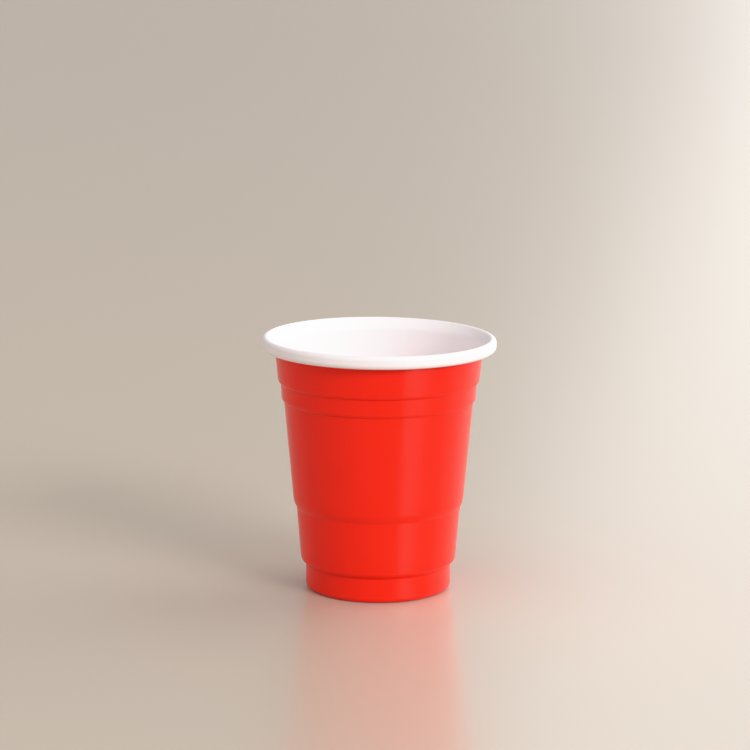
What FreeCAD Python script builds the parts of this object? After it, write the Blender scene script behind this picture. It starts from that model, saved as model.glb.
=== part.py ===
import FreeCAD, Part
import os
import math
import Sketcher

# ---------------------------------------------------------------------------
# Plastic shot cup, two fluid ounces.
#
# One thermoformed sheet: recessed base panel, upright base ring, four stepped
# ledges up a slightly tapered wall, a plain collar and a rim rolled outward
# into a hollow bead whose cut edge is tucked up against the collar.
#
# Millimetres.  +Z is up along the axis of the cup.  The origin is the centre
# of the base, on the plane the cup stands on.
# ---------------------------------------------------------------------------

doc = FreeCAD.newDocument("shot_cup_model")

# --------------------------------------------------------------- dimensions
sheet = doc.addObject("Spreadsheet::Sheet", "dimensions")
sheet.Label = "dimensions"

DIMS = [
    # alias, value, meaning
    ("overall_height", 57.00, "height over the rolled rim"),
    ("rim_radius", 26.05, "outside radius of the rolled rim"),
    ("wall", 0.40, "sheet thickness after forming"),
    # base
    ("panel_radius", 12.60, "radius of the recessed base panel"),
    ("panel_rise", 0.90, "height of the panel above the standing plane"),
    ("foot_inner_radius", 13.40, "inner radius of the contact ring"),
    ("base_radius", 16.28, "outside radius of the base ring at the foot"),
    ("ring_top_radius", 16.26, "outside radius of the base ring at its top"),
    ("ring_top_height", 5.47, "height of the base ring"),
    # ledge four, just above the base ring: nested cups sit on its inside
    ("seat_radius", 17.37, "outside radius above the nesting ledge"),
    ("seat_height", 6.55, "height of the nesting ledge's outer corner"),
    # ledge three
    ("lower_crease_radius", 18.36, "outside radius below ledge three"),
    ("lower_crease_height", 18.50, "height of the crease below ledge three"),
    ("lower_ledge_radius", 18.99, "outside radius above ledge three"),
    ("lower_ledge_height", 19.59, "height of ledge three's outer corner"),
    # ledge two
    ("middle_crease_radius", 21.07, "outside radius below ledge two"),
    ("middle_crease_height", 42.51, "height of the crease below ledge two"),
    ("middle_ledge_radius", 21.59, "outside radius above ledge two"),
    ("middle_ledge_height", 42.87, "height of ledge two's outer corner"),
    # ledge one
    ("upper_crease_radius", 21.81, "outside radius below ledge one"),
    ("upper_crease_height", 46.65, "height of the crease below ledge one"),
    ("upper_ledge_radius", 22.38, "outside radius above ledge one"),
    ("upper_ledge_height", 47.05, "height of ledge one's outer corner"),
    # collar: a reference point that sets its taper, just under the rim
    ("collar_radius", 23.08, "outside radius of the collar at collar_height"),
    ("collar_height", 54.14, "height where collar_radius is measured"),
    # rolled rim
    ("root_bend", 2.00, "inside radius of the bend from collar to flank"),
    ("flank_angle", 45.0, "slope of the rim's inner flank, degrees from the axis"),
    ("crest_bend", 0.95, "outside radius of the roll over its crest"),
    ("bead_depth", 2.86, "height of the roll, crest to underside"),
    ("under_bend", 1.15, "outside radius of the roll at its underside"),
    ("edge_drop", 2.05, "depth of the tucked cut edge below the crest"),
    # corner radii, measured on the outside of the sheet
    ("foot_fillet", 1.05, "outside corner of the foot"),
    ("seat_fillet", 1.35, "outside corner of the nesting ledge"),
    ("lower_fillet", 4.50, "outside corner of ledge three"),
    ("step_fillet", 1.10, "outside corners of ledges one and two"),
    ("crease_fillet", 0.15, "creases below the ledges"),
    ("panel_fillet", 0.55, "outside corners of the base panel's step"),
]
for row, (alias, value, meaning) in enumerate(DIMS, start=1):
    sheet.set("A%d" % row, meaning)
    sheet.set("B%d" % row, "%.4f" % value)
    sheet.setAlias("B%d" % row, alias)
doc.recompute()


def dim(alias):
    return float(sheet.get(alias))


# ------------------------------------------------------------------- body
body = doc.addObject("PartDesign::Body", "shot_cup")
body.Label = "shot_cup"


def origin_feature(role):
    for feature in body.Origin.OriginFeatures:
        if feature.Role == role:
            return feature
    raise RuntimeError("no origin feature " + role)


section = body.newObject("Sketcher::SketchObject", "section")
section.AttachmentSupport = [(origin_feature("XZ_Plane"), "")]
section.MapMode = "FlatFace"
doc.recompute()


def vec(r, z):
    return FreeCAD.Vector(r, z, 0)


def unit(a, b):
    d = (b[0] - a[0], b[1] - a[1])
    n = math.hypot(*d)
    return (d[0] / n, d[1] / n)


def offset_line(a, b, distance):
    """The line a-b moved by distance to the left of its direction."""
    u = unit(a, b)
    n = (-u[1] * distance, u[0] * distance)
    return (a[0] + n[0], a[1] + n[1]), (b[0] + n[0], b[1] + n[1])


def meet(p1, p2, p3, p4):
    """Where the line p1-p2 meets the line p3-p4."""
    d1 = (p2[0] - p1[0], p2[1] - p1[1])
    d2 = (p4[0] - p3[0], p4[1] - p3[1])
    cross = d1[0] * d2[1] - d1[1] * d2[0]
    k = ((p3[0] - p1[0]) * d2[1] - (p3[1] - p1[1]) * d2[0]) / cross
    return (p1[0] + k * d1[0], p1[1] + k * d1[1])


# Outside face of the sheet, from the axis along the base and up the wall.
OUTSIDE = [
    ("panel_centre", None, "panel_rise"),
    ("panel_edge", "panel_radius", "panel_rise"),
    ("foot_inner", "foot_inner_radius", None),
    ("foot_outer", "base_radius", None),
    ("ring_top", "ring_top_radius", "ring_top_height"),
    ("seat", "seat_radius", "seat_height"),
    ("lower_crease", "lower_crease_radius", "lower_crease_height"),
    ("lower_ledge", "lower_ledge_radius", "lower_ledge_height"),
    ("middle_crease", "middle_crease_radius", "middle_crease_height"),
    ("middle_ledge", "middle_ledge_radius", "middle_ledge_height"),
    ("upper_crease", "upper_crease_radius", "upper_crease_height"),
    ("upper_ledge", "upper_ledge_radius", "upper_ledge_height"),
    ("collar", "collar_radius", "collar_height"),
]
outside = [(dim(r) if r else 0.0, dim(z) if z else 0.0) for _, r, z in OUTSIDE]
wall = dim("wall")

# Inside face: every straight run moved in by the sheet's thickness.
runs = list(zip(outside[:-1], outside[1:]))
moved = [offset_line(a, b, wall) for a, b in runs]
inside = [(0.0, moved[0][0][1])]
for (a, b), (c, d) in zip(moved[:-1], moved[1:]):
    inside.append(meet(a, b, c, d))
inside.append(moved[-1][1])

# Rolled rim.  The inner face of the sheet becomes the outer face of the roll.
# It turns one way all along: root bend, straight flank, crest, upright face,
# underside, and ends at the cut edge.  The other face is wall behind it.
root_bend = dim("root_bend")
crest_bend = dim("crest_bend")
under_bend = dim("under_bend")
rim_radius = dim("rim_radius")
top = dim("overall_height")
flank = math.radians(dim("flank_angle"))
crest_centre = (rim_radius - crest_bend, top - crest_bend)
under_centre = (rim_radius - under_bend, top - dim("bead_depth") + under_bend)


def on_circle(centre, radius, angle):
    return (centre[0] + radius * math.cos(angle), centre[1] + radius * math.sin(angle))


# The flank is tangent to the crest where the crest's normal is at flank + 90.
flank_normal = math.pi - flank
flank_top = on_circle(crest_centre, crest_bend, flank_normal)
flank_dir = (math.sin(flank), math.cos(flank))
inner_wall = (inside[-2], inside[-1])
wall_dir = unit(*inner_wall)
corner = meet(inner_wall[0], inner_wall[1],
              flank_top, (flank_top[0] - flank_dir[0], flank_top[1] - flank_dir[1]))
turn = flank - math.atan2(wall_dir[0], wall_dir[1])
reach = root_bend * math.tan(turn / 2)
wall_top = (corner[0] - wall_dir[0] * reach, corner[1] - wall_dir[1] * reach)
flank_foot = (corner[0] + flank_dir[0] * reach, corner[1] + flank_dir[1] * reach)
root_centre = (wall_top[0] + wall_dir[1] * root_bend, wall_top[1] - wall_dir[0] * root_bend)
wall_normal = math.atan2(wall_top[1] - root_centre[1], wall_top[0] - root_centre[0])
edge_height = top - dim("edge_drop")
edge_angle = -math.pi + math.asin((under_centre[1] - edge_height) / under_bend)

# ------------------------------------------------------------ sketch lines
names = {}


def add_line(name, a, b):
    names[name] = section.addGeometry(Part.LineSegment(vec(*a), vec(*b)), False)


def add_arc(name, centre, radius, start, end):
    circle = Part.Circle(vec(*centre), FreeCAD.Vector(0, 0, 1), radius)
    names[name] = section.addGeometry(Part.ArcOfCircle(circle, start, end), False)


count = len(runs)
for i in range(count):
    add_line("out%d" % i, outside[i], outside[i + 1] if i < count - 1 else
             on_circle(root_centre, root_bend - wall, wall_normal))
for i in range(count):
    add_line("in%d" % i, inside[i], inside[i + 1] if i < count - 1 else wall_top)
add_line("axis", outside[0], inside[0])

# Arcs run anticlockwise from start to end, so each one's end point is the one
# nearer the collar.
add_arc("root_in", root_centre, root_bend, flank_normal, wall_normal)
add_arc("root_out", root_centre, root_bend - wall, flank_normal, wall_normal)
add_line("flank_in", flank_foot, flank_top)
add_line("flank_out", on_circle(root_centre, root_bend - wall, flank_normal),
         on_circle(crest_centre, crest_bend - wall, flank_normal))
add_arc("crest_in", crest_centre, crest_bend, 0.0, flank_normal)
add_arc("crest_out", crest_centre, crest_bend - wall, 0.0, flank_normal)
add_line("face_in", (rim_radius, crest_centre[1]), (rim_radius, under_centre[1]))
add_line("face_out", (rim_radius - wall, crest_centre[1]), (rim_radius - wall, under_centre[1]))
add_arc("under_in", under_centre, under_bend, edge_angle, 0.0)
add_arc("under_out", under_centre, under_bend - wall, edge_angle, 0.0)
add_line("edge", on_circle(under_centre, under_bend, edge_angle),
         on_circle(under_centre, under_bend - wall, edge_angle))

START, END, CENTRE = 1, 2, 3
ORIGIN = (-1, 1)
V_AXIS = -2


def constrain(*args):
    args = list(args)
    for k, item in enumerate(args):
        if isinstance(item, str) and k > 0:
            args[k] = names[item]
    return section.addConstraint(Sketcher.Constraint(*args))


def bind(index, expression):
    section.setExpression("Constraints[%d]" % index, expression)


def place(name, point, radius, height):
    """Hold a point at a radius from the axis and a height, from the sheet."""
    if radius:
        bind(constrain("DistanceX", *ORIGIN, name, point, dim(radius)),
             "dimensions.%s" % radius)
    else:
        constrain("PointOnObject", name, point, V_AXIS)
    if height:
        bind(constrain("DistanceY", *ORIGIN, name, point, dim(height)),
             "dimensions.%s" % height)
    else:
        constrain("PointOnObject", name, point, -1)


# outside polyline
for i in range(count - 1):
    constrain("Coincident", "out%d" % i, END, "out%d" % (i + 1), START)
for i, (_, radius, height) in enumerate(OUTSIDE[:-1]):
    place("out%d" % i, START, radius, height)
# the collar's outside line passes through its reference point
collar_point = section.addGeometry(Part.Point(vec(*outside[-1])), False)
names["collar_point"] = collar_point
section.toggleConstruction(collar_point)
place("collar_point", START, "collar_radius", "collar_height")
constrain("PointOnObject", "collar_point", START, "out%d" % (count - 1))

# inside polyline: parallel to the outside, one sheet thickness away
for i in range(count - 1):
    constrain("Coincident", "in%d" % i, END, "in%d" % (i + 1), START)
for i in range(count):
    constrain("Parallel", "in%d" % i, "out%d" % i)
    bind(constrain("Distance", "in%d" % i, START, "out%d" % i, wall), "dimensions.wall")
constrain("Coincident", "axis", START, "out0", START)
constrain("Coincident", "axis", END, "in0", START)
constrain("PointOnObject", "axis", END, V_AXIS)

# rolled rim, face that shows
last = count - 1
constrain("Tangent", "in%d" % last, END, "root_in", END)
constrain("Tangent", "root_in", START, "flank_in", START)
constrain("Tangent", "flank_in", END, "crest_in", END)
constrain("Tangent", "crest_in", START, "face_in", START)
constrain("Tangent", "face_in", END, "under_in", END)
constrain("Vertical", "face_in")
bind(constrain("DistanceX", *ORIGIN, "face_in", START, rim_radius), "dimensions.rim_radius")
bind(constrain("DistanceY", *ORIGIN, "crest_in", CENTRE, top - crest_bend),
     "dimensions.overall_height - dimensions.crest_bend")
bind(constrain("DistanceY", *ORIGIN, "under_in", CENTRE, under_centre[1]),
     "dimensions.overall_height - dimensions.bead_depth + dimensions.under_bend")
bind(constrain("Radius", "root_in", root_bend), "dimensions.root_bend")
bind(constrain("Radius", "crest_in", crest_bend), "dimensions.crest_bend")
bind(constrain("Radius", "under_in", under_bend), "dimensions.under_bend")
bind(constrain("Angle", "flank_in", math.pi / 2 - flank),
     "(90 - dimensions.flank_angle) * 1 deg")

# rolled rim, hidden face
for arc in ("root", "crest", "under"):
    constrain("Coincident", arc + "_out", CENTRE, arc + "_in", CENTRE)
constrain("Tangent", "out%d" % last, END, "root_out", END)
constrain("Tangent", "root_out", START, "flank_out", START)
constrain("Tangent", "flank_out", END, "crest_out", END)
constrain("Tangent", "crest_out", START, "face_out", START)
constrain("Tangent", "face_out", END, "under_out", END)
bind(constrain("Radius", "crest_out", crest_bend - wall),
     "dimensions.crest_bend - dimensions.wall")
bind(constrain("Radius", "under_out", under_bend - wall),
     "dimensions.under_bend - dimensions.wall")
constrain("Coincident", "edge", START, "under_in", START)
constrain("Coincident", "edge", END, "under_out", START)
constrain("PointOnObject", "under_in", CENTRE, "edge")
bind(constrain("DistanceY", *ORIGIN, "edge", START, edge_height),
     "dimensions.overall_height - dimensions.edge_drop")
doc.recompute()
solved = section.solve()
print("section: solver", solved, "fully constrained", section.FullyConstrained)
if solved != 0 or not section.FullyConstrained:
    raise RuntimeError("the section sketch isn't fully constrained")

# ------------------------------------------------------------- revolution
revolve = body.newObject("PartDesign::Revolution", "formed_sheet")
revolve.Profile = (section, [""])
revolve.ReferenceAxis = (section, ["V_Axis"])
revolve.Angle = 360.0
doc.recompute()
print("formed_sheet:", revolve.State, revolve.Shape.isValid(), round(revolve.Shape.Volume, 2))


# ---------------------------------------------------------- corner radii
def ring_edge(shape, radius, height):
    """Name of the circular edge nearest to a radius and height."""
    best = None
    for k, edge in enumerate(shape.Edges, start=1):
        curve = edge.Curve
        if not isinstance(curve, Part.Circle):
            continue
        miss = math.hypot(curve.Radius - radius, curve.Center.z - height)
        if best is None or miss < best[0]:
            best = (miss, "Edge%d" % k)
    if best is None or best[0] > 0.01:
        raise RuntimeError("no edge at radius %.3f height %.3f: %s" % (radius, height, best))
    return best[1]


# name, corner numbers, side, radius expression.  A bend in the sheet keeps its
# thickness, so the far side of each outside corner is the wall smaller, and
# the far side of each crease is the wall larger.
FILLETS = [
    ("foot_outside", [3], outside, "dimensions.foot_fillet"),
    ("foot_inside", [3], inside, "dimensions.foot_fillet - dimensions.wall"),
    ("panel_step_below", [2], outside, "dimensions.panel_fillet"),
    ("panel_step_above", [2], inside, "dimensions.panel_fillet - dimensions.wall"),
    ("panel_edge_below", [1], outside, "dimensions.panel_fillet - dimensions.wall"),
    ("panel_edge_above", [1], inside, "dimensions.panel_fillet"),
    ("seat_outside", [5], outside, "dimensions.seat_fillet"),
    ("seat_inside", [5], inside, "dimensions.seat_fillet - dimensions.wall"),
    ("lower_outside", [7], outside, "dimensions.lower_fillet"),
    ("lower_inside", [7], inside, "dimensions.lower_fillet - dimensions.wall"),
    ("step_outside", [9, 11], outside, "dimensions.step_fillet"),
    ("step_inside", [9, 11], inside, "dimensions.step_fillet - dimensions.wall"),
    ("crease_outside", [4, 6, 8, 10], outside, "dimensions.crease_fillet"),
    ("crease_inside", [4, 6, 8, 10], inside, "dimensions.crease_fillet + dimensions.wall"),
]
tip = revolve
for name, corners, side, expression in FILLETS:
    fillet = body.newObject("PartDesign::Fillet", name)
    fillet.Base = (tip, [ring_edge(tip.Shape, *side[k]) for k in corners])
    fillet.setExpression("Radius", expression)
    doc.recompute()
    if "Invalid" in fillet.State or "Error" in fillet.State:
        raise RuntimeError("fillet failed: " + name)
    tip = fillet
body.Tip = tip
doc.recompute()

# ------------------------------------------------------------------ checks
for obj in doc.Objects:
    bad = [state for state in obj.State if state in ("Invalid", "Error")]
    if bad:
        raise RuntimeError("%s is %s" % (obj.Label, bad))

SUBPARTS = [body]
for obj in SUBPARTS:
    shape = obj.Shape
    if shape.isNull() or not shape.isValid() or len(shape.Solids) != 1:
        raise RuntimeError("bad shape: " + obj.Label)
    box = shape.BoundBox
    print("%s: volume %.2f mm3, box %.3f..%.3f %.3f..%.3f %.3f..%.3f" % (
        obj.Label, shape.Volume, box.XMin, box.XMax, box.YMin, box.YMax, box.ZMin, box.ZMax))

# The sheet's volume by hand: the mid-line's length times the wall, turned
# about the axis, is close to the solid's.
mid = 0.0
for (a, b), (c, d) in zip(runs, zip(inside[:-1], inside[1:])):
    p = ((a[0] + c[0]) / 2, (a[1] + c[1]) / 2)
    q = ((b[0] + d[0]) / 2, (b[1] + d[1]) / 2)
    mid += math.hypot(q[0] - p[0], q[1] - p[1]) * math.pi * (p[0] + q[0]) * wall
print("wall and base by hand, without the rim: %.1f mm3" % mid)

# Brimful capacity, from the inside polyline up to the crest.
capacity = 0.0
levels = inside[:-1] + [wall_top, flank_foot, flank_top]
for a, b in zip(levels[:-1], levels[1:]):
    capacity += math.pi * (b[1] - a[1]) * (a[0] ** 2 + a[0] * b[0] + b[0] ** 2) / 3
print("capacity to the crest: %.1f ml" % (capacity / 1000.0))

os.makedirs("parts", exist_ok=True)
for obj in SUBPARTS:
    obj.Shape.exportStep("parts/%s.step" % obj.Label)
    print("wrote parts/%s.step" % obj.Label)
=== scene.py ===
import math

import bmesh
import bpy
import numpy as np
from mathutils import Matrix, Vector


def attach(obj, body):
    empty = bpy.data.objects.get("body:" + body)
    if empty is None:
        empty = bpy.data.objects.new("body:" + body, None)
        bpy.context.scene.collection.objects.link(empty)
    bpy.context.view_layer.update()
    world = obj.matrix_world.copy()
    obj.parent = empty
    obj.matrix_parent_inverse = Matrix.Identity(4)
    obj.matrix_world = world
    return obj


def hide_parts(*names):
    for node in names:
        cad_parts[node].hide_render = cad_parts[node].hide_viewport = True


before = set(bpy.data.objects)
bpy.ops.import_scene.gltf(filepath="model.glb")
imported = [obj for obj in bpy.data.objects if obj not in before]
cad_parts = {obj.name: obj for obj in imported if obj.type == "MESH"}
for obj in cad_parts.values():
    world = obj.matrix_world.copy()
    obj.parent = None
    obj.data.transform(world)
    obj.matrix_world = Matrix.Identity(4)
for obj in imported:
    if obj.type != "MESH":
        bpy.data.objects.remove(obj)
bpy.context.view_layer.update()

MM = 0.001
scene = bpy.context.scene

# ---------------------------------------------------------------------------
# The formed sheet.  Section in millimetres as (radius, height), repeated from
# the CAD source.  The path follows the red face of the sheet from the centre
# of the base to the cut edge inside the rolled rim; the white face lies one
# sheet thickness to the left of it.
# ---------------------------------------------------------------------------
WALL = 0.40
RIM_RADIUS, HEIGHT = 26.05, 57.00
STEPS = [
    # radius, height, corner radius on the red face
    (0.00, 0.90, 0.0),
    (12.60, 0.90, 0.15),
    (13.40, 0.00, 0.55),
    (16.28, 0.00, 1.05),
    (16.26, 5.47, 0.15),
    (17.37, 6.55, 1.35),
    (18.36, 18.50, 0.15),
    (18.99, 19.59, 4.50),
    (21.07, 42.51, 0.15),
    (21.59, 42.87, 1.10),
    (21.81, 46.65, 0.15),
    (22.38, 47.05, 1.10),
    (23.08, 54.14, 0.0),
]
ROOT_BEND, CREST_BEND, UNDER_BEND = 2.00, 0.95, 1.15
FLANK = math.radians(45)
BEAD_DEPTH, EDGE_DROP = 2.86, 2.05


def arc_points(centre, radius, a0, a1, count, left):
    """Points on an arc with the normal that points at the white face."""
    out = []
    for k in range(count + 1):
        a = a0 + (a1 - a0) * k / count
        n = (math.cos(a), math.sin(a))
        p = (centre[0] + radius * n[0], centre[1] + radius * n[1])
        out.append((p, (n[0] * left, n[1] * left)))
    return out


def section_path():
    """The red face's path as [(point, normal to the white face)]."""
    pts = [Vector((r, z)) for r, z, _ in STEPS]
    path = []

    def straight(a, b, spacing):
        d = b - a
        n = (-d.y / d.length, d.x / d.length)
        count = max(1, math.ceil(d.length / spacing))
        for k in range(count + 1):
            q = a + d * (k / count)
            path.append(((q.x, q.y), n))

    start = pts[0]
    for i in range(1, len(pts) - 1):
        before = (pts[i] - pts[i - 1]).normalized()
        after = (pts[i + 1] - pts[i]).normalized()
        turn = math.atan2(
            before.x * after.y - before.y * after.x, before.dot(after)
        )
        f = STEPS[i][2]
        cut = f * math.tan(abs(turn) / 2)
        a, b = pts[i] - before * cut, pts[i] + after * cut
        straight(start, a, 1.55)
        side = 1 if turn > 0 else -1  # left turn: the centre is on the white side
        n0 = Vector((-before.y, before.x)) * side
        centre = a + n0 * f
        a0 = math.atan2((a - centre).y, (a - centre).x)
        count = max(4, math.ceil(abs(math.degrees(turn)) / 9))
        path.extend(
            arc_points(tuple(centre), f, a0, a0 + turn, count, -side)[1:-1]
        )
        start = b
    # the collar runs up into the root bend of the rolled rim
    d = (pts[-1] - pts[-2]).normalized()
    wall_angle = math.atan2(d.x, d.y)
    crest = Vector((RIM_RADIUS - CREST_BEND, HEIGHT - CREST_BEND))
    under = Vector((RIM_RADIUS - UNDER_BEND, HEIGHT - BEAD_DEPTH + UNDER_BEND))
    across = Vector((-math.cos(FLANK), math.sin(FLANK)))
    top_white = crest + across * CREST_BEND
    along = Vector((math.sin(FLANK), math.cos(FLANK)))
    left = Vector((-d.y, d.x))
    wall_white = pts[-2] + left * WALL
    # where the white face of the collar would meet the flank's line
    den = d.x * along.y - d.y * along.x
    k = ((top_white.x - wall_white.x) * along.y - (top_white.y - wall_white.y) * along.x) / den
    corner = wall_white + d * k
    reach = ROOT_BEND * math.tan((FLANK - wall_angle) / 2)
    wall_top = corner - d * reach
    root = wall_top - left * ROOT_BEND
    straight(start, wall_top - left * WALL, 1.3)
    a_wall = math.atan2(left.y, left.x)
    a_flank = math.pi - FLANK
    path.extend(arc_points(tuple(root), ROOT_BEND - WALL, a_wall, a_flank, 7, 1)[1:-1])
    straight(root + across * (ROOT_BEND - WALL), crest + across * (CREST_BEND - WALL), 0.42)
    path.extend(arc_points(tuple(crest), CREST_BEND - WALL, a_flank, 0.0, 16, 1)[1:-1])
    straight(
        Vector((RIM_RADIUS - WALL, crest.y)), Vector((RIM_RADIUS - WALL, under.y)), 0.26
    )
    edge_z = HEIGHT - EDGE_DROP
    a_edge = -math.pi + math.asin((under.y - edge_z) / UNDER_BEND)
    path.extend(arc_points(tuple(under), UNDER_BEND - WALL, 0.0, a_edge, 20, 1)[1:])
    # drop points that fall on each other
    clean = [path[0]]
    for p in path[1:]:
        if math.hypot(p[0][0] - clean[-1][0][0], p[0][1] - clean[-1][0][1]) > 1e-4:
            clean.append(p)
    return clean


path = section_path()
print("section points a side:", len(path))


# ---------------------------------------------------------------------------
# Mesh.  Both faces of the sheet are turned about the axis, closed over the
# cut edge.  The base panels narrow to their centres in rings with half as
# many points each time, so that no sliver meets the axis.
# ---------------------------------------------------------------------------
SEGMENTS = 256


def out_of_round(angle, z):
    """Radial change, in mm: a formed cup is never quite round at its mouth."""
    grow = max(0.0, min(1.0, (z - 4.0) / 50.0))
    grow = grow * grow * (3 - 2 * grow)
    return grow * (
        0.050 * math.cos(2 * angle + 1.1)
        + 0.022 * math.cos(3 * angle + 0.4 + 0.03 * z)
        + 0.010 * math.cos(5 * angle - 0.9 - 0.05 * z)
    ) + min(1.0, z / 3.0) * 0.008 * math.sin(7 * angle + 0.21 * z) * math.sin(0.33 * z)


def rim_lift(angle, z):
    """Height change, in mm: the rolled rim waves a little round the mouth."""
    grow = max(0.0, min(1.0, (z - 50.0) / 5.0))
    return -grow * (
        0.085
        + 0.160 * math.cos(angle + 0.15)
        + 0.013 * math.cos(2 * angle - 0.6)
        + 0.006 * math.cos(3 * angle + 2.0)
        + 0.003 * math.cos(11 * angle + 0.5)
    )


verts, faces, kinds, corner_normals, corner_uvs = [], [], [], [], []
vert_frames = []  # normal of the red or white face at each vertex, as (r, z)


def ring(point, normal, count, phase=0.0):
    start = len(verts)
    for k in range(count):
        a = 2 * math.pi * k / count + phase
        r = point[0] + out_of_round(a, point[1])
        z = point[1] + rim_lift(a, point[1])
        verts.append((r * math.cos(a) * MM, r * math.sin(a) * MM, z * MM))
        vert_frames.append((normal[0], normal[1], a))
    return start


def pole(z, nz):
    verts.append((0.0, 0.0, z * MM))
    vert_frames.append((0.0, nz, 0.0))
    return len(verts) - 1


red = [p for p, _ in path]
white = [(p[0] + n[0] * WALL, p[1] + n[1] * WALL) for p, n in path]
normals = [n for _, n in path]
flat_end = next(i for i, p in enumerate(red) if p[0] > 12.4)

# lengths along the sheet, for the map
run = [0.0]
for a, b in zip(red[:-1], red[1:]):
    run.append(run[-1] + math.hypot(b[0] - a[0], b[1] - a[1]))
run_white = [0.0]
for a, b in zip(white[:-1], white[1:]):
    run_white.append(run_white[-1] + math.hypot(b[0] - a[0], b[1] - a[1]))
V_SCALE = 1 / 175.0
PANEL_V = 0.088


def add_face(ids, kind, ns, uvs):
    faces.append(ids)
    kinds.append(kind)
    corner_normals.extend(ns)
    corner_uvs.extend(uvs)


def normal3(nr, nz, a):
    return (nr * math.cos(a), nr * math.sin(a), nz)


def skin(points, sign, kind, v0, lengths, panel_centre):
    """One face of the sheet.  sign -1 is the red face, +1 the white one."""
    ring_start = {}
    for i in range(flat_end, len(points)):
        n = (normals[i][0] * sign, normals[i][1] * sign)
        ring_start[i] = ring(points[i], n, SEGMENTS)
    for i in range(flat_end, len(points) - 1):
        a, b = ring_start[i], ring_start[i + 1]
        na = (normals[i][0] * sign, normals[i][1] * sign)
        nb = (normals[i + 1][0] * sign, normals[i + 1][1] * sign)
        va = v0 + (lengths[i] - lengths[flat_end]) * V_SCALE
        vb = v0 + (lengths[i + 1] - lengths[flat_end]) * V_SCALE
        for k in range(SEGMENTS):
            k1 = (k + 1) % SEGMENTS
            t0, t1 = 2 * math.pi * k / SEGMENTS, 2 * math.pi * (k + 1) / SEGMENTS
            u0, u1 = 0.006 + 0.988 * k / SEGMENTS, 0.006 + 0.988 * (k + 1) / SEGMENTS
            ids = [a + k, a + k1, b + k1, b + k]
            ns = [normal3(*na, t0), normal3(*na, t1), normal3(*nb, t1), normal3(*nb, t0)]
            uv = [(u0, va), (u1, va), (u1, vb), (u0, vb)]
            if sign > 0:
                ids, ns, uv = ids[::-1], ns[::-1], uv[::-1]
            add_face(ids, kind, ns, uv)
    # the flat panel
    z = points[0][1]
    nz = normals[0][1] * sign
    count, outer, radius = SEGMENTS, ring_start[flat_end], points[flat_end][0]
    scale = PANEL_V / points[flat_end][0]

    def flat_uv(vertex):
        x, y, _ = verts[vertex]
        return (panel_centre[0] + x / MM * scale, panel_centre[1] + y / MM * scale)

    def flat(ids):
        if sign > 0:
            ids = ids[::-1]
        add_face(ids, kind, [(0.0, 0.0, nz)] * len(ids), [flat_uv(v) for v in ids])

    while count > 16:
        inner_count = count // 2
        radius -= max(0.9, radius * 2 * math.pi / count * 1.6)
        inner = ring((radius, z), (0.0, nz), inner_count)
        for k in range(inner_count):
            o0, o1, o2 = outer + 2 * k, outer + 2 * k + 1, outer + (2 * k + 2) % count
            i0, i1 = inner + k, inner + (k + 1) % inner_count
            for tri in ((i0, o1, o0), (i0, i1, o1), (i1, o2, o1)):
                flat(list(tri))
        count, outer = inner_count, inner
    while radius > 2.2:
        step = radius * 2 * math.pi / count
        radius = radius - step if radius - step > 1.2 else 1.6
        inner = ring((radius, z), (0.0, nz), count)
        for k in range(count):
            k1 = (k + 1) % count
            flat([outer + k, inner + k, inner + k1, outer + k1])
        outer = inner
    centre = pole(z, nz)
    for k in range(count):
        flat([outer + k, centre, outer + (k + 1) % count])
    return ring_start[len(points) - 1]


red_end = skin(red, -1, 0, 0.010, run, (0.10, 0.905))
white_end = skin(white, +1, 1, 0.425, run_white, (0.30, 0.905))

# the cut edge of the sheet: red layer, then white layer
edge_out = Vector(red[-1]) - Vector(red[-2])
edge_out.normalize()
a, b = Vector(red[-1]), Vector(white[-1])
mid = (a + b) / 2 + edge_out * 0.02
mid_start = ring(tuple(mid), (edge_out.x, edge_out.y), SEGMENTS)
for k in range(SEGMENTS):
    k1 = (k + 1) % SEGMENTS
    t0, t1 = 2 * math.pi * k / SEGMENTS, 2 * math.pi * (k + 1) / SEGMENTS
    n0, n1 = normal3(edge_out.x, edge_out.y, t0), normal3(edge_out.x, edge_out.y, t1)
    u0, u1 = 0.006 + 0.988 * k / SEGMENTS, 0.006 + 0.988 * (k + 1) / SEGMENTS
    add_face([red_end + k, red_end + k1, mid_start + k1, mid_start + k], 0,
             [n0, n1, n1, n0], [(u0, 0.985), (u1, 0.985), (u1, 0.987), (u0, 0.987)])
    add_face([mid_start + k, mid_start + k1, white_end + k1, white_end + k], 1,
             [n0, n1, n1, n0], [(u0, 0.991), (u1, 0.991), (u1, 0.993), (u0, 0.993)])

mesh = bpy.data.meshes.new("shot_cup_sheet")
mesh.from_pydata(verts, [], faces)
mesh.update()
mesh.polygons.foreach_set("use_smooth", [True] * len(faces))
mesh.polygons.foreach_set("material_index", kinds)
uv_layer = mesh.uv_layers.new(name="OFBake")
uv_layer.uv.foreach_set("vector", np.array(corner_uvs, np.float32).ravel())
mesh.normals_split_custom_set(corner_normals)
mesh.update()
cup = bpy.data.objects.new("shot_cup_sheet", mesh)
scene.collection.objects.link(cup)
print("cup mesh:", len(verts), "points,", len(faces), "faces,",
      sum(len(f) - 2 for f in faces), "triangles")
print("faces per map row: red to", 0.010 + (run[-1] - run[flat_end]) * V_SCALE,
      "white to", 0.425 + (run_white[-1] - run_white[flat_end]) * V_SCALE)

# ------------------------------------------------------------------ finishes


def node(tree, kind, x, y, **inputs):
    n = tree.nodes.new(kind)
    n.location = (x, y)
    for key, value in inputs.items():
        n.inputs[key.replace("_", " ")].default_value = value
    return n


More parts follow.
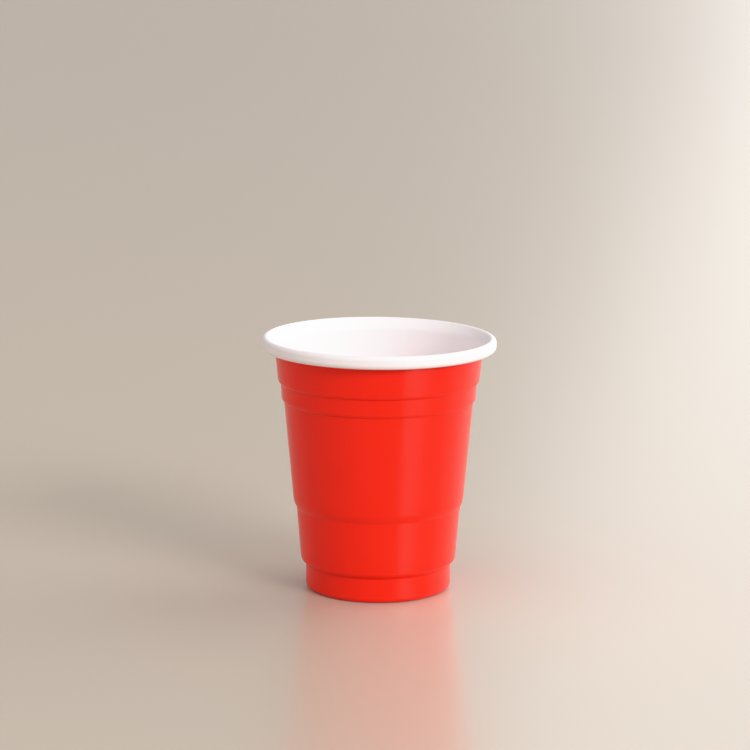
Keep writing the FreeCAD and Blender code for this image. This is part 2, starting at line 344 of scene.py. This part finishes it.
def sheet_material(name, light, dark, roughness, spread, peel, specular, subsurface):
    """Formed plastic: faint mottling and draw lines in colour, gloss and relief."""
    mat = bpy.data.materials.new(name)
    mat.use_nodes = True
    tree = mat.node_tree
    tree.nodes.clear()
    link = tree.links.new
    out = node(tree, "ShaderNodeOutputMaterial", 900, 0)
    shader = node(tree, "ShaderNodeBsdfPrincipled", 600, 0)
    shader.inputs["Specular IOR Level"].default_value = specular
    shader.inputs["Subsurface Weight"].default_value = subsurface
    shader.inputs["Subsurface Radius"].default_value = (1.0, 0.7, 0.6)
    shader.inputs["Subsurface Scale"].default_value = 0.0006
    link(shader.outputs["BSDF"], out.inputs["Surface"])
    place = node(tree, "ShaderNodeTexCoord", -1100, 0)

    # soft mottling, some 9 mm across
    mottle = node(tree, "ShaderNodeTexNoise", -700, 300, Scale=110.0, Detail=2.0, Roughness=0.45)
    link(place.outputs["Object"], mottle.inputs["Vector"])
    # draw lines: fine across the wall and long up it
    stretch = node(tree, "ShaderNodeMapping", -900, -60)
    stretch.inputs["Scale"].default_value = (520.0, 520.0, 22.0)
    link(place.outputs["Object"], stretch.inputs["Vector"])
    lines = node(tree, "ShaderNodeTexNoise", -700, -20, Scale=1.0, Detail=3.0, Roughness=0.55)
    link(stretch.outputs["Vector"], lines.inputs["Vector"])
    # orange peel, under half a millimetre
    grain = node(tree, "ShaderNodeTexNoise", -700, -340, Scale=2300.0, Detail=2.0, Roughness=0.5)
    link(place.outputs["Object"], grain.inputs["Vector"])

    both = node(tree, "ShaderNodeMix", -450, 200)
    both.data_type = "FLOAT"
    both.inputs[0].default_value = 0.35
    link(mottle.outputs["Fac"], both.inputs[2])
    link(lines.outputs["Fac"], both.inputs[3])
    ramp = node(tree, "ShaderNodeValToRGB", -200, 260)
    ramp.color_ramp.elements[0].position = 0.32
    ramp.color_ramp.elements[0].color = (*dark, 1)
    ramp.color_ramp.elements[1].position = 0.68
    ramp.color_ramp.elements[1].color = (*light, 1)
    link(both.outputs[0], ramp.inputs["Fac"])
    link(ramp.outputs["Color"], shader.inputs["Base Color"])

    gloss = node(tree, "ShaderNodeMapRange", 100, -60)
    gloss.inputs["From Min"].default_value = 0.3
    gloss.inputs["From Max"].default_value = 0.7
    gloss.inputs["To Min"].default_value = roughness - spread
    gloss.inputs["To Max"].default_value = roughness + spread
    link(both.outputs[0], gloss.inputs["Value"])
    link(gloss.outputs["Result"], shader.inputs["Roughness"])

    relief = node(tree, "ShaderNodeMix", -300, -260)
    relief.data_type = "FLOAT"
    relief.inputs[0].default_value = 0.45
    link(lines.outputs["Fac"], relief.inputs[2])
    link(grain.outputs["Fac"], relief.inputs[3])
    bump = node(tree, "ShaderNodeBump", 300, -300, Strength=1.0, Distance=peel)
    link(relief.outputs[0], bump.inputs["Height"])
    link(bump.outputs["Normal"], shader.inputs["Normal"])
    return mat


red_plastic = sheet_material(
    "red_layer", (0.935, 0.0160, 0.0024), (0.905, 0.0142, 0.0017),
    roughness=0.255, spread=0.014, peel=0.0000025, specular=0.25, subsurface=0.0,
)
white_plastic = sheet_material(
    "white_layer", (0.955, 0.872, 0.882), (0.935, 0.848, 0.858),
    roughness=0.33, spread=0.03, peel=0.000003, specular=0.40, subsurface=0.10,
)
mesh.materials.append(red_plastic)
mesh.materials.append(white_plastic)

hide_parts("shot_cup")
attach(cup, "root")

# --------------------------------------------------------------------- stage
floor_mesh = bpy.data.meshes.new("floor")
floor_mesh.from_pydata(
    [(-5, -5, 0), (5, -5, 0), (5, 7, 0), (-5, 7, 0)], [], [(0, 1, 2, 3)]
)
floor = bpy.data.objects.new("floor", floor_mesh)
scene.collection.objects.link(floor)
floor_mat = bpy.data.materials.new("pale_floor")
floor_mat.use_nodes = True
floor_shader = floor_mat.node_tree.nodes["Principled BSDF"]
floor_shader.inputs["Base Color"].default_value = (0.58, 0.49, 0.40, 1)
floor_shader.inputs["Roughness"].default_value = 0.25
floor_shader.inputs["Specular IOR Level"].default_value = 0.9
floor_mesh.materials.append(floor_mat)

world = bpy.data.worlds.new("studio")
world.use_nodes = True
world.node_tree.nodes["Background"].inputs["Color"].default_value = (1.0, 0.985, 0.97, 1)
world.node_tree.nodes["Background"].inputs["Strength"].default_value = 0.32
scene.world = world


def soft_light(name, azimuth, elevation, spread, strength, colour=(1, 1, 1)):
    """A wide, far light.  Azimuth 0 is the camera's side, spread its width in degrees."""
    a, e = math.radians(azimuth), math.radians(elevation)
    toward = Vector((math.sin(a) * math.cos(e), -math.cos(a) * math.cos(e), math.sin(e)))
    data = bpy.data.lights.new(name, "SUN")
    data.angle = math.radians(spread)
    data.energy = strength
    data.color = colour
    obj = bpy.data.objects.new(name, data)
    obj.location = toward * 1.2
    obj.rotation_euler = (-toward).to_track_quat("-Z", "Y").to_euler()
    scene.collection.objects.link(obj)
    return obj


soft_light("key_left", 38, 24, 17, 1.18)
soft_light("key", 51, 24, 17, 0.80)
soft_light("key_right", 66, 22, 24, 0.22)
soft_light("right_back", 114, 15, 50, 0.70)
soft_light("back", 130, 25, 90, 1.95)
soft_light("fill_left", -50, 42, 90, 0.84, (1.0, 0.98, 0.97))

# -------------------------------------------------------------------- camera
FOCAL_PX = 2655.4
DISTANCE, LIFT = 601.86, math.radians(15.457)
CENTRE_X, CENTRE_Y = 378.96, 584.10
ROLL = math.radians(0.210)
pitch = LIFT - math.atan((CENTRE_Y - 375) / FOCAL_PX)
yaw = math.atan((CENTRE_X - 375) / FOCAL_PX)
forward = Vector((-math.sin(yaw) * math.cos(pitch), math.cos(yaw) * math.cos(pitch), -math.sin(pitch)))
right = Vector((math.cos(yaw), math.sin(yaw), 0))
up = right.cross(forward)
across = right * math.cos(ROLL) + up * math.sin(ROLL)
upward = up * math.cos(ROLL) - right * math.sin(ROLL)
place = Matrix((across, upward, -forward)).transposed().to_4x4()
place.translation = Vector((0, -DISTANCE * math.cos(LIFT), DISTANCE * math.sin(LIFT))) * MM
cam_data = bpy.data.cameras.new("camera")
cam_data.sensor_fit = "HORIZONTAL"
cam_data.sensor_width = 36.0
cam_data.lens = FOCAL_PX / 750 * 36.0
cam_data.clip_start, cam_data.clip_end = 0.01, 30.0
cam_data.dof.use_dof = False
camera = bpy.data.objects.new("camera", cam_data)
camera.matrix_world = place
scene.collection.objects.link(camera)
scene.camera = camera

scene.view_settings.view_transform = "Standard"
scene.view_settings.look = "None"
scene.view_settings.exposure = 0.0
scene.view_settings.gamma = 1.0
# a soft shoulder at the top of the tone curve, as a camera has, so that the
# white plastic keeps its shading where it is brightest
SHOULDER, WHITE = 0.85, 2.2
scene.view_settings.use_curve_mapping = True
tone = scene.view_settings.curve_mapping
tone.black_level, tone.white_level = (0, 0, 0), (WHITE, WHITE, WHITE)
tone.use_clip = True
curve = tone.curves[3]
curve.points[0].location, curve.points[1].location = (0, 0), (1, 1)
for level in (0.45, 0.85, 0.90, 0.96, 1.03, 1.12, 1.24, 1.40, 1.70):
    above = max(0.0, level - SHOULDER) / (1 - SHOULDER)
    curve.points.new(level / WHITE, min(level, SHOULDER) + (1 - SHOULDER) * (1 - math.exp(-above)))
for point in curve.points:
    point.handle_type = "VECTOR"
tone.update()
